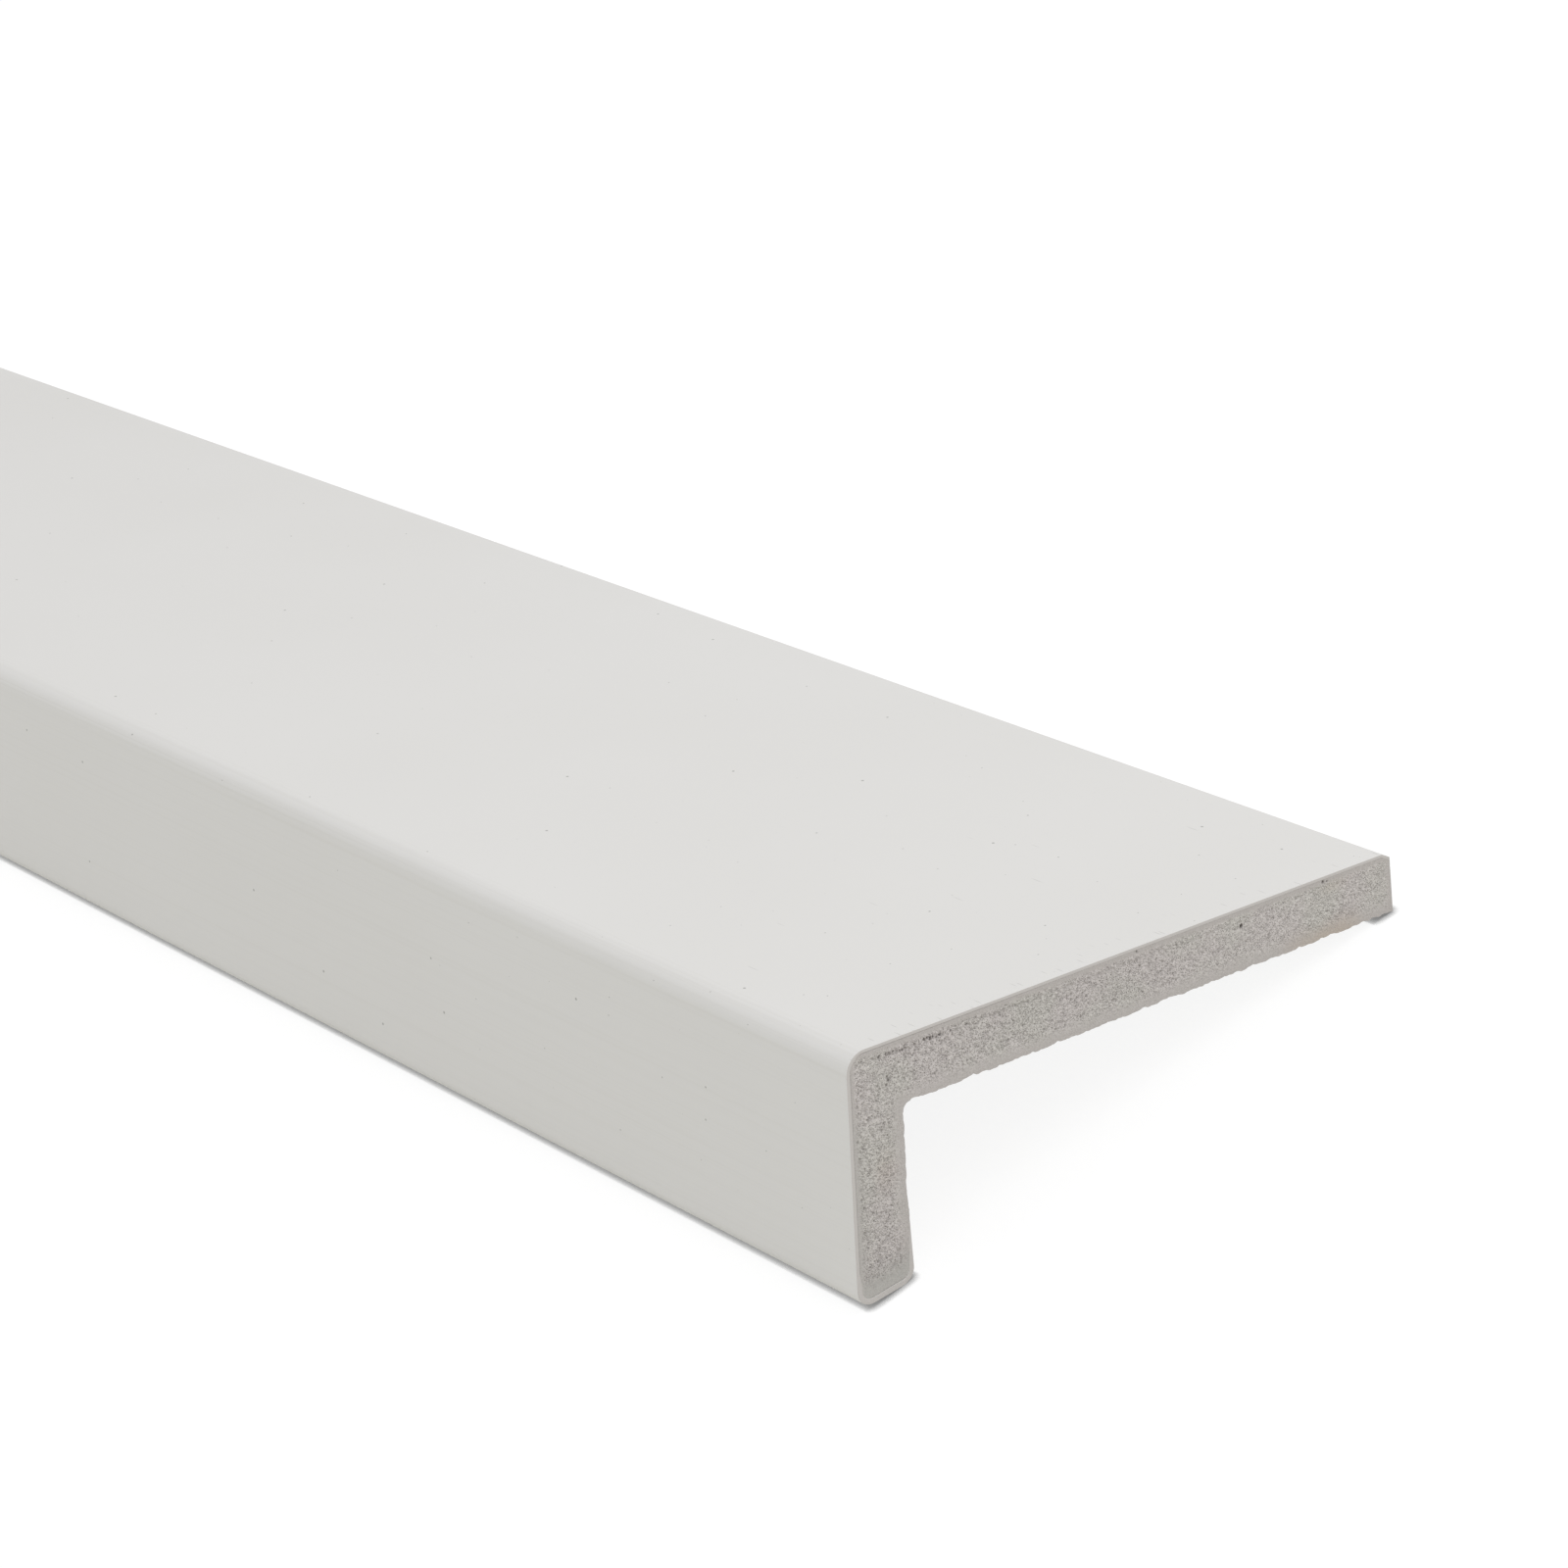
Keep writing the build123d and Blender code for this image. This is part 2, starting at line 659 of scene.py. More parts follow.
@dataclass(frozen=True)
class Marks:
    """One kind of small mark on the skin.

    A reach keeps the marks to that distance from the sawn end, where they begin, and they are at their
    full strength within a share of it. A stretch draws them out along the board, and such marks lie on
    the wide face only.
    """

    spacing: float
    radius: float
    strength: float
    stretch: float = 1.0
    reach: float = 0.0
    full_share: float = 0.3

    def cover(self, finish: Finish, along: Socket, round_path: Socket, on_face: Socket, end: float) -> Socket:
        """Return how strongly the marks cover the skin.

        Args:
            finish: The material being made.
            along: The distance along the board.
            round_path: The distance round the section.
            on_face: 1 on the wide face and 0 on the leg.
            end: The sawn end's place along the board.

        Returns:
            The cover, from 0 to the marks' strength.
        """
        sheet = finish.sheet
        pattern = sheet.add("ShaderNodeCombineXYZ")
        drawn_out = sheet.maths("DIVIDE", along, self.stretch)
        sheet.feed(pattern, X=drawn_out, Y=round_path, Z=self.stretch)
        spots = finish.effect(
            finish.effects.specks, Pattern=pattern.outputs[0], Spacing=self.spacing, Radius=self.radius
        )
        limits = []
        if self.reach:
            limits.append(sheet.ramp(along, Fade(end - self.reach, end - self.full_share * self.reach)))
        if self.stretch > 1.0:
            limits.append(on_face)
        return sheet.times(spots["Mask"], self.strength, *limits)


@dataclass(frozen=True)
class SkinFinish:
    """The smooth white skin: satin, with faint lines from the die, dust specks and scuffs by the cut."""

    half_length: float
    colour: Colour = srgb(222, 221, 219)
    shade: Colour = srgb(213, 211, 207)
    speck_colour: Colour = srgb(120, 118, 114)
    sawn_colour: Colour = srgb(198, 194, 192)
    roughness: float = 0.65
    shine: float = 0.12
    specks: Marks = Marks(spacing=17.0, radius=0.3, strength=0.6)
    handling: Marks = Marks(spacing=11.0, radius=0.2, strength=0.45, reach=130.0)
    scuffs: Marks = Marks(spacing=6.0, radius=0.13, strength=0.2, stretch=12.0, reach=70.0)
    tears: Marks = Marks(spacing=1.2, radius=0.12, strength=0.3, stretch=12.0, reach=8.0)
    on_face: Fade = Fade(-3.0, -1.0)
    line_spacing: float = 0.55
    line_run: float = 260.0
    lines: Fade = Fade(0.45, 0.75)
    line_share: float = 0.2
    down_leg: Fade = Fade(-1.0, -5.0)
    corner_share: float = 0.4
    corner_across: Fade = Fade(5.0, 1.5)
    corner_up: Fade = Fade(-7.0, -2.5)
    drift_size: float = 70.0
    drift: Fade = Fade(0.25, 0.8)
    drift_share: float = 0.2
    grain_size: float = 1.6
    grain_height: float = 0.15
    rim: Fade = Fade(-0.04, -0.01)
    bump: float = 0.02 * MM

    def make(self, effects: Effects) -> bpy.types.Material:
        """Return the material."""
        finish = Finish("white_skin", effects, self.roughness, self.shine, self.bump)
        sheet = finish.sheet
        along, across, up = sheet.feed(sheet.add("ShaderNodeSeparateXYZ"), Vector=finish.flat).outputs
        grain = finish.effect(effects.grain, Flat=finish.flat, Size=self.grain_size, Drift=self.drift_size)
        drawn = self._drawn(finish, across, up)
        drift = sheet.times(sheet.ramp(grain["Drift"], self.drift), self.drift_share)
        colour = sheet.blend(sheet.maths("ADD", drift, drawn, clamp=True), self.colour, self.shade)
        round_path, on_face = sheet.maths("ADD", across, up), sheet.ramp(up, self.on_face)
        for marks in (self.specks, self.handling, self.scuffs, self.tears):
            cover = marks.cover(finish, along, round_path, on_face, self.half_length)
            colour = sheet.blend(cover, colour, self.speck_colour)
        at_rim = sheet.ramp(sheet.maths("ABSOLUTE", along), self.rim.moved(self.half_length))
        height = sheet.maths("SUBTRACT", sheet.times(grain["Grain"], self.grain_height), drawn)
        return finish.complete(sheet.blend(at_rim, colour, self.sawn_colour), height)

    def _drawn(self, finish: Finish, across: Socket, up: Socket) -> Socket:
        """Return how strongly the die's lines show, which is on the leg and most at the corner."""
        sheet = finish.sheet
        lines = finish.effect(
            finish.effects.drawn, Flat=finish.flat, Spacing=self.line_spacing, Run=self.line_run
        )
        on_leg = sheet.times(sheet.ramp(up, self.down_leg), self.line_share)
        at_corner = sheet.times(
            sheet.ramp(across, self.corner_across), sheet.ramp(up, self.corner_up), self.corner_share
        )
        return sheet.times(sheet.ramp(lines["Value"], self.lines), sheet.maths("MAXIMUM", on_leg, at_corner))


@dataclass(frozen=True)
class Stain:
    """A faint tan patch on the shown cut."""

    across: float
    up: float
    half_width: float
    half_height: float
    strength: float

    def cover(self, finish: Finish, half_length: float, uneven: Socket) -> Socket:
        """Return how strongly the stain covers the cut.

        Args:
            finish: The material being made.
            half_length: Half the board's length, where the shown cut is.
            uneven: A slow noise that makes the stain's border uneven.

        Returns:
            The cover, from 0 to the stain's strength.
        """
        sheet = finish.sheet
        placed = sheet.add("ShaderNodeMapping", vector_type="TEXTURE")
        middle, reach = (half_length, self.across, self.up), (half_length, self.half_width, self.half_height)
        sheet.feed(placed, Vector=finish.flat, Location=middle, Scale=reach)
        away = sheet.add("ShaderNodeVectorMath", operation="LENGTH")
        sheet.put(away.inputs, placed.outputs["Vector"])
        border = sheet.maths("ADD", away.outputs["Value"], uneven)
        return sheet.times(sheet.ramp(border, Fade(1.0, 0.0)), self.strength)


@dataclass(frozen=True)
class FoamFinish:
    """The cut foam: matt, pale between the cells, and darkened down in them and in the holes as painted
    shade.
    """

    half_length: float
    dense: Colour = srgb(191, 186, 184)
    wall: Colour = srgb(218, 212, 211)
    wall_cool: Colour = srgb(216, 213, 209)
    sheltered: Colour = srgb(190, 188, 185)
    # Painted shade in the pits: the cells darken towards this colour by their depth, and the random fine
    # speckle darkens towards it too.
    pit: Colour = srgb(118, 112, 108)
    # Painted shade in the deepest holes.
    hole: Colour = srgb(60, 56, 53)
    back: Colour = srgb(214, 212, 208)
    stain_colour: Colour = srgb(192, 176, 158)
    stains: tuple[Stain, ...] = (
        Stain(across=87.0, up=-9.4, half_width=10.5, half_height=4.2, strength=0.48),
        Stain(across=88.5, up=-2.0, half_width=4.0, half_height=1.6, strength=0.25),
        Stain(across=5.6, up=-18.0, half_width=3.2, half_height=5.0, strength=0.2),
    )
    stain_unevenness: float = 0.8
    roughness: float = 0.85
    shine: float = 0.2
    cell_size: float = 0.25
    cell_share: float = 0.75
    bowl: Fade = Fade(0.04, 0.4)
    chance: Fade = Fade(-0.4, 0.9)
    grain_size: float = 0.16
    grain: Fade = Fade(0.35, 0.7)
    grain_share: float = 0.26
    grain_height: float = 0.4
    tint_size: float = 8.0
    tint: Fade = Fade(0.35, 0.65)
    painted_hole_shade: Fade = Fade(1.3, 1.6)
    behind_cut: Fade = Fade(0.0, 0.5)
    bump: float = 0.05 * MM

    def make(self, effects: Effects) -> bpy.types.Material:
        """Return the material."""
        finish = Finish("foam_core", effects, self.roughness, self.shine, self.bump)
        sheet = finish.sheet
        field, shelter, depth, behind = (mark.read(sheet) for mark in Mark)
        grain = finish.effect(effects.grain, Flat=finish.flat, Size=self.grain_size, Drift=self.tint_size)
        wall = sheet.blend(sheet.ramp(grain["Drift"], self.tint), self.wall, self.wall_cool)
        body = sheet.blend(shelter, sheet.blend(field, self.dense, wall), self.sheltered)
        uneven = sheet.maths(
            "MULTIPLY_ADD", grain["Drift"], self.stain_unevenness, -self.stain_unevenness / 2
        )
        for stain in self.stains:
            body = sheet.blend(stain.cover(finish, self.half_length, uneven), body, self.stain_colour)
        # Painted shade: the smallest cells and the modelled depth darken the colour towards the pit colour,
        # and the random fine speckle adds to it.
        cells = sheet.times(self._smallest_cells(finish), field)
        deepest = sheet.maths("MAXIMUM", sheet.times(cells, self.cell_share), depth)
        speckle = sheet.times(sheet.ramp(grain["Grain"], self.grain), self.grain_share)
        colour = sheet.blend(sheet.maths("ADD", speckle, deepest, clamp=True), body, self.pit)
        # Painted shade: the deepest holes darken almost to black.
        colour = sheet.blend(sheet.ramp(depth, self.painted_hole_shade), colour, self.hole)
        colour = sheet.blend(sheet.ramp(behind, self.behind_cut), colour, self.back)
        height = sheet.maths("SUBTRACT", sheet.times(grain["Grain"], self.grain_height), cells)
        return finish.complete(colour, height)

    def _smallest_cells(self, finish: Finish) -> Socket:
        """Return how deep the cells lie that are too small to model, from 0 to 1."""
        sheet = finish.sheet
        kinds = ("F1", "DISTANCE_TO_EDGE")
        cells, walls = (sheet.add("ShaderNodeTexVoronoi", feature=kind) for kind in kinds)
        for node in (cells, walls):
            sheet.feed(node, Vector=finish.flat, Scale=1 / self.cell_size)
        chance = sheet.feed(sheet.add("ShaderNodeSeparateColor"), Color=cells.outputs["Color"]).outputs[0]
        return sheet.times(sheet.ramp(walls.outputs["Distance"], self.bowl), sheet.ramp(chance, self.chance))


@dataclass(frozen=True)
class BackFinish:
    """The foamed back: matt and white, streaked along the board by the die."""

    colour: Colour = srgb(221, 220, 217)
    streak: Colour = srgb(206, 203, 198)
    roughness: float = 0.7
    shine: float = 0.3
    line_spacing: float = 1.3
    line_run: float = 120.0
    lines: Fade = Fade(0.42, 0.75)
    line_share: float = 0.5
    drift_size: float = 35.0
    drift_share: float = 0.3
    grain_size: float = 0.5
    grain_height: float = 0.6
    bump: float = 0.05 * MM

    def make(self, effects: Effects) -> bpy.types.Material:
        """Return the material."""
        finish = Finish("foamed_back", effects, self.roughness, self.shine, self.bump)
        sheet = finish.sheet
        grain = finish.effect(effects.grain, Flat=finish.flat, Size=self.grain_size, Drift=self.drift_size)
        lines = finish.effect(effects.drawn, Flat=finish.flat, Spacing=self.line_spacing, Run=self.line_run)
        streaks = sheet.times(sheet.ramp(lines["Value"], self.lines), self.line_share)
        share = sheet.maths("ADD", streaks, sheet.times(grain["Drift"], self.drift_share), clamp=True)
        height = sheet.maths("ADD", sheet.times(grain["Grain"], self.grain_height), lines["Value"])
        return finish.complete(sheet.blend(share, self.colour, self.streak), height)


# The board's visible parts


@dataclass
class Piece:
    """A visible part of the board: what it is made from and how it is handed to the frame."""

    section: Section
    gauge: SkinGauge
    lying: Lying
    length: float
    slab: float = 1.2 * MM

    def hand_over(self, piece: Object, material: bpy.types.Material, slot: Slot) -> None:
        """Lay a part down, dress it and tie it to the frame.

        Args:
            piece: The flat part.
            material: Its finish.
            slot: The record's slot that the finish belongs to. Not used.
        """
        self.lying.settle(piece)
        piece.data.materials.clear()
        piece.data.materials.append(material)
        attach(piece, BODY)
        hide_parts(BOARD_NODE)
        triangles = sum(len(face.vertices) - 2 for face in piece.data.polygons)
        log.info("%s: %d triangles", piece.name, triangles)


@dataclass
class OuterSkin(Piece):
    """The smooth skin, folded round the wide face, the leg and the toe, with its lip on the inner face."""

    arc_segments: int = 10
    rim_softening: float = 0.05 * MM
    rim_angle: float = 60.0
    smooth_angle: float = 25.0

    def corners(self) -> list[Corner]:
        """Return the skin's path on the outside of the board."""
        section = self.section
        return [
            section.edge_top,
            section.ease_start,
            section.outer_corner,
            Corner(0.0, -self.gauge.thickens_from),
            Corner(0.0, -self.gauge.full_from),
            section.toe_outer,
            section.toe_inner,
            section.inner_face(self.gauge.lip_depth),
        ]

    def thickness(self, place: Vector) -> float:
        """Return how thick the skin is at a place on its path."""
        gauge, half_round = self.gauge, self.section.outer_radius / 2
        if place.z > -half_round and place.y > half_round:
            return gauge.on_face
        if place.z < -(gauge.thickens_from + gauge.full_from) / 2:
            return gauge.round_toe
        return gauge.on_leg if place.y < self.section.leg_thickness / 2 else gauge.at_lip

    def build(self) -> Object:
        """Return the skin, modelled flat."""
        bench = trace("outer_skin", self.corners(), -self.length / 2, False, self.arc_segments)
        draw_along(self.length)
        bench.face_outwards()
        bench.close()
        piece, full = bench.piece, self.gauge.round_toe
        top = max(piece.data.polygons, key=lambda face: face.area)
        if top.normal.z < 0:
            piece.data.flip_normals()
        weights = np.array([self.thickness(Vector(place)) for place in coordinates(piece)]) / full
        gauged = weigh(piece, "thickness", weights)
        add_modifier(
            piece, "SOLIDIFY", thickness=full, offset=-1.0, use_even_offset=True, vertex_group=gauged
        )
        angle = radians(self.rim_angle)
        add_modifier(
            piece, "BEVEL", width=self.rim_softening, segments=2, limit_method="ANGLE", angle_limit=angle
        )
        shade_smooth(piece, self.smooth_angle)
        add_modifier(piece, "WEIGHTED_NORMAL", mode="FACE_AREA", weight=100, keep_sharp=True)
        return piece


@dataclass(frozen=True)
class Ridges:
    """A set of rounded ridges with sharp notches between them, drawn along the board by the die.

    The offset, in millimetres, moves the pattern, so that no two sets are the same.
    """

    spacing: float
    height: float
    offset: float
    run: float = 400.0
    middle: float = 0.3

    def press(self, piece: Object, group: str, axis: str, inwards: int) -> None:
        """Push the piece's vertices in and out along an axis.

        Args:
            piece: The flat mesh.
            group: The vertex group that says where the ridges are.
            axis: The axis that their height lies along.
            inwards: 1 where the foam lies up the axis from its surface, and -1 where it lies down it.
        """
        texture = bpy.data.textures.new("ridges", "VORONOI")
        texture.distance_metric = "DISTANCE_SQUARED"
        texture.noise_scale = self.spacing
        bpy.ops.object.empty_add(location=(0, self.offset * MM, self.offset * MM))
        pattern = bpy.context.object
        pattern.scale = (self.run * MM, MM, MM)
        bpy.context.view_layer.update()
        add_modifier(
            piece,
            "DISPLACE",
            texture=texture,
            texture_coords="OBJECT",
            texture_coords_object=pattern,
            direction=axis,
            strength=inwards * self.height,
            mid_level=self.middle,
            vertex_group=group,
        )
        bpy.data.objects.remove(pattern)
        bpy.data.textures.remove(texture)


@dataclass
class FoamedBack(Piece):
    """The foamed body behind the skin, with the ridges that run along its underside and inner face."""

    arc_segments: int = 8
    stations: tuple[int, int] = (1, 49)
    underside_cuts: tuple[int, int] = (3, 99)
    inner_cuts: int = 50
    flare_cuts: int = 24
    broad: Ridges = Ridges(spacing=2.0, height=0.4 * MM, offset=0.0)
    narrow: Ridges = Ridges(spacing=0.75, height=0.27 * MM, offset=5.0)
    inner: Ridges = Ridges(spacing=1.1, height=0.24 * MM, offset=11.0)
    edge_fade: float = 1.0 * MM
    lip_fade: Fade = Fade.in_mm(0.3, 1.5)
    corner_rise: float = 0.25 * MM
    rise_reach: float = 2.2 * MM
    rise_middle: float = 0.4
    smooth_angle: float = 40.0

    def outline(self) -> list[Corner]:
        """Return the foam's corners, true where it shows and seated in the skin where that covers it.

        Returns:
            The corners from the free edge's lower one, by the wide face and the leg.
        """
        section, gauge = self.section, self.gauge
        face, leg, toe = (thick - gauge.seat for thick in (gauge.on_face, gauge.on_leg, gauge.round_toe))
        return [
            section.edge_bottom,
            section.edge_top,
            inset(section.edge_top, section.ease_start, section.outer_corner, (face, face)),
            inset(section.ease_start, section.outer_corner, section.toe_outer, (face, leg)),
            Corner(leg, -gauge.thickens_from),
            Corner(toe, -gauge.full_from),
            inset(section.outer_corner, section.toe_outer, section.toe_inner, (toe, toe)),
            inset(section.toe_outer, section.toe_inner, section.flare_start, (toe, toe)),
            section.inner_face(gauge.lip_depth),
            section.flare_start,
            section.inner_corner,
        ]

    def build_wall(self) -> Object:
        """Return the foam's whole side wall, flat, ridged and open at both ends."""
        bench = trace("foamed_back", self.outline(), -self.length / 2, True, self.arc_segments)
        self._cut_up(bench, self._is_under, self.underside_cuts)
        self._cut_up(bench, self._is_inner, (self.inner_cuts,))
        self._cut_up(bench, self._is_flared, (self.flare_cuts,))
        draw_along(self.length)
        for cuts in self.stations:
            bench.edges(lambda one, other: abs(one.x - other.x) > self.slab)
            bpy.ops.mesh.subdivide(number_cuts=cuts)
        bench.face_outwards()
        bench.close()
        self._press_ridges(bench.piece)
        log.info("foam wall: %d vertices", len(bench.piece.data.vertices))
        return bench.piece

    def _press_ridges(self, piece: Object) -> None:
        """Give the underside and the leg's inner face the ridges that the die leaves along them."""
        section = self.section
        across, up = coordinates(piece)[:, 1:].T
        corner_end = section.leg_thickness + section.inner_radius
        under = (up < -section.thickness_at_edge + TOUCHING) & (across > corner_end)
        fade = Fade(corner_end, corner_end + self.rise_reach).at(across)
        fade *= Fade(section.edge_bottom.across, section.face_width - self.edge_fade).at(across)
        ridged = weigh(piece, "underside", under * fade)
        self.broad.press(piece, ridged, "Z", 1)
        self.narrow.press(piece, ridged, "Z", 1)
        away = np.abs(across - corner_end - self.rise_middle * self.rise_reach) / self.rise_reach
        risen = weigh(piece, "corner_rise", under * Fade(1.0, 0.0).at(away))
        add_modifier(
            piece, "DISPLACE", direction="Z", strength=self.corner_rise, mid_level=0.0, vertex_group=risen
        )
        on_inner = (across > section.leg_thickness - 2 * TOUCHING) & (across < corner_end)
        on_inner = on_inner & (up < -section.thickness_at_leg - section.inner_radius)
        fade = self.lip_fade.moved(-self.gauge.lip_depth).at(up)
        self.inner.press(piece, weigh(piece, "inner_face", on_inner * fade), "Y", -1)

    def _is_under(self, place: Vector) -> bool:
        """Return whether a place is on the underside of the wide part."""
        low = place.z < -self.section.thickness_at_edge + TOUCHING
        return low and place.y > self.section.leg_thickness + self.section.inner_radius - 2 * TOUCHING

    def _is_inner(self, place: Vector) -> bool:
        """Return whether a place is on the leg's inner face, from the flare up."""
        beside = abs(place.y - self.section.leg_thickness) < TOUCHING
        return beside and place.z > -self.section.toe_flare_start - TOUCHING

    def _is_flared(self, place: Vector) -> bool:
        """Return whether a place is on the leg's inner face between the flare and the skin's lip."""
        below = place.z < -self.section.toe_flare_start + TOUCHING
        beside = abs(place.y - self.section.inner_face(-place.z).across) < TOUCHING
        return below and beside and place.z > -self.gauge.lip_depth - TOUCHING

    def _cut_up(self, bench: Bench, test: Callable[[Vector], bool], cuts: Sequence[int]) -> None:
        """Subdivide the outline's edges whose ends both pass a test, once for each count of cuts."""
        for count in cuts:
            bench.edges(lambda one, other: test(one) and test(other))
            bpy.ops.mesh.subdivide(number_cuts=count)

    def close_body(self, wall: Object) -> Object:
        """Return the wall with both ends trimmed by a slab and closed."""
        for end in End:
            bench = Bench(wall)
            bpy.ops.mesh.select_all(action="SELECT")
            trimmed = (end.value * (self.length / 2 - self.slab), 0, 0)
            bpy.ops.mesh.bisect(plane_co=trimmed, plane_no=(end.value, 0, 0), clear_outer=True, use_fill=True)
            bench.close()
        bench = Bench(wall)
        bench.face_outwards()
        bench.close()
        shade_smooth(wall, self.smooth_angle)
        return wall


@dataclass(frozen=True)
class Cells:
    """One size of cell in the foam, where the saw has opened it.

    The open share is how many of the cells lie open, the wall is the share of a cell's size over which
    its bowl falls away, and the shallowest is the least share of the full depth that an open cell has.
    """

    size: float
    depth: float
    open_share: float
    wall: float
    shallowest: float
    spread: float = 97.0

    def depths(self, places: np.ndarray, layer: float) -> np.ndarray:
        """Return how deep a cell lies open at each point of a sawn face.

        Args:
            places: The points as rows of across and up, in metres.
            layer: Where in the foam the saw has passed, in cells.

        Returns:
            The depth at each point, in metres, which is zero on the walls and in closed cells.
        """
        found = np.zeros(len(places))
        for row, (across, up) in enumerate(places / self.size):
            reach, centres = noise.voronoi(Vector((across, up, layer)))
            chance = (1 + noise.cell(centres[0] * self.spread)) / 2
            if chance < self.open_share:
                bowl = min((reach[1] - reach[0]) / self.wall, 1.0)
                found[row] = self.depth * bowl * at_least(self.shallowest, 1 - chance / self.open_share)
        return found


@dataclass(frozen=True)
class Hole:
    """A single deep hole in a sawn face."""

    across: float
    up: float
    radius: float
    depth: float

    def depths(self, across: np.ndarray, up: np.ndarray) -> np.ndarray:
        """Return the hole's depth at points of the face, in metres."""
        away = np.hypot(across - self.across, up - self.up)
        return self.depth * Fade(self.radius, self.radius / 2).at(away)


SHOWN_HOLES = (
    Hole(70.88 * MM, -2.81 * MM, 0.36 * MM, 0.7 * MM),
    Hole(6.8 * MM, -5.1 * MM, 0.26 * MM, 0.3 * MM),
    Hole(7.0 * MM, -5.7 * MM, 0.3 * MM, 0.36 * MM),
    Hole(6.7 * MM, -6.3 * MM, 0.24 * MM, 0.28 * MM),
    Hole(51.2 * MM, -0.75 * MM, 0.22 * MM, 0.3 * MM),
    Hole(86.8 * MM, -0.85 * MM, 0.3 * MM, 0.35 * MM),
    Hole(87.6 * MM, -0.95 * MM, 0.2 * MM, 0.25 * MM),
)


@dataclass(frozen=True)
class Sides:
    """How far the points of a cut lie from its sides, in metres, and the share that they lie on the leg."""

    skin: np.ndarray
    bare: np.ndarray
    toe: np.ndarray
    edge: np.ndarray
    on_leg: np.ndarray


@dataclass
class SawnEnd(Piece):
    """A sawn end of the foam: a thin slab whose outer face is open cells."""

    end: End = End.SAWN
    name: str = "sawn_end"
    layer: float = 3.3
    holes: tuple[Hole, ...] = ()
    set_back: float = 0.04 * MM
    spacing: float = 0.125 * MM
    weld: float = 0.03 * MM
    smooth_angle: float = 60.0
    full_depth: float = 0.45 * MM
    leg: Fade = Fade.in_mm(6.0, 12.0)
    toe_width: float = 1.1

    # Where the cells thin out: by the skin, the toe's end, the bare faces and the free edge
    dense_share: float = 0.15
    by_skin: Fade = Fade.in_mm(0.3, 1.1)
    by_toe: Fade = Fade.in_mm(1.5, 4.5)
    by_bare: Fade = Fade.in_mm(0.2, 2.8)
    narrower_on_leg: float = 0.2 * MM
    by_edge: Fade = Fade.in_mm(0.2, 1.5)

    # Where the foam is a little darker: in the toe and beside the leg's skin
    toe_shelter: Fade = Fade.in_mm(6.5, 1.5)
    skin_shelter: Fade = Fade.in_mm(2.2, 0.3)
    skin_shelter_share: float = 0.5

    # The cells: fine ones all over in patches, coarse ones, and a row of large ones under the skin
    fine: Cells = Cells(0.39 * MM, 0.28 * MM, 0.96, wall=0.6, shallowest=0.35)
    patch_size: float = 1.5 * MM
    patches: Fade = Fade(-0.4, 0.4)
    patch_share: float = 0.9
    finer: Fade = Fade.in_mm(40.0, 80.0)
    finer_share: float = 0.2
    coarse: Cells = Cells(0.48 * MM, 0.32 * MM, 0.12, wall=0.4, shallowest=0.5)
    coarse_share: float = 0.2
    coarse_leg_share: float = 0.5
    row: Cells = Cells(0.55 * MM, 0.5 * MM, 0.8, wall=0.35, shallowest=0.5)
    row_middle: float = 2.0 * MM
    row_reach: float = 0.55 * MM
    row_core: float = 0.3
    row_across: tuple[float, ...] = (3 * MM, 6 * MM, 18 * MM, 22 * MM, 45 * MM, 95 * MM)
    row_strength: tuple[float, ...] = (0.0, 1.0, 1.0, 0.5, 0.4, 0.2)

    # The groove between the foam and the skin, which fades out across the wide part
    groove_depth: float = 0.07 * MM
    groove: Fade = Fade.in_mm(0.2, 0.04)
    groove_end: Fade = Fade.in_mm(15.0, 45.0)
    groove_loss: float = 0.8

    @property
    def face_x(self) -> float:
        """Return the sawn face's place along the board."""
        return self.end.value * (self.length / 2 - self.set_back)

    def build(self, wall: Object) -> Object:
        """Return the slab, modelled flat.

        Args:
            wall: The foam's side wall, whose outline at this end the slab takes.

        Returns:
            The closed slab.
        """
        piece = self._lay_grid(outline_at(wall, self.end))
        self._snap_rim(piece, wall)
        self._open_cells(piece)
        self._close(piece)
        return piece

    def _lay_grid(self, outline: np.ndarray) -> Object:
        """Return a fine grid on the face, with what lies outside the outline cut away."""
        low, high = outline.min(0), outline.max(0)
        (across, up), middle = high - low, (low + high) / 2
        bpy.ops.object.select_all(action="DESELECT")
        bpy.ops.mesh.primitive_grid_add(
            x_subdivisions=round(up / self.spacing),
            y_subdivisions=round(across / self.spacing),
            size=1,
            location=(self.face_x, middle[0], middle[1]),
            rotation=(0, self.end.value * pi / 2, 0),
        )
        piece = bpy.context.object
        piece.name = piece.data.name = self.name
        piece.scale = (up, across, 1)
        bpy.ops.object.transform_apply(location=True, rotation=True, scale=True)
        bench = Bench(piece)
        mesh = bmesh.from_edit_mesh(piece.data)
        middles = np.array([face.calc_center_median().yz for face in mesh.faces])
        for face, kept in zip(mesh.faces, is_inside(middles, outline)):
            face.select_set(not kept)
        bmesh.update_edit_mesh(piece.data)
        bpy.ops.mesh.delete(type="FACE")
        bench.close()
        return piece

    def _snap_rim(self, piece: Object, wall: Object) -> None:
        """Draw the grid's stepped rim onto the wall and weld what falls together."""
        mesh = bmesh.new()
        mesh.from_mesh(piece.data)
        rim = weigh(piece, "rim", np.array([vertex.is_boundary for vertex in mesh.verts], float))
        mesh.free()
        add_modifier(
            piece, "SHRINKWRAP", target=wall, wrap_method="NEAREST_SURFACEPOINT", vertex_group=rim
        )
        bench = Bench(piece)
        bpy.ops.mesh.select_all(action="SELECT")
        bpy.ops.transform.resize(value=(0, 1, 1), center_override=(self.face_x, 0, 0))
        bpy.ops.mesh.remove_doubles(threshold=self.weld)
        bench.close()

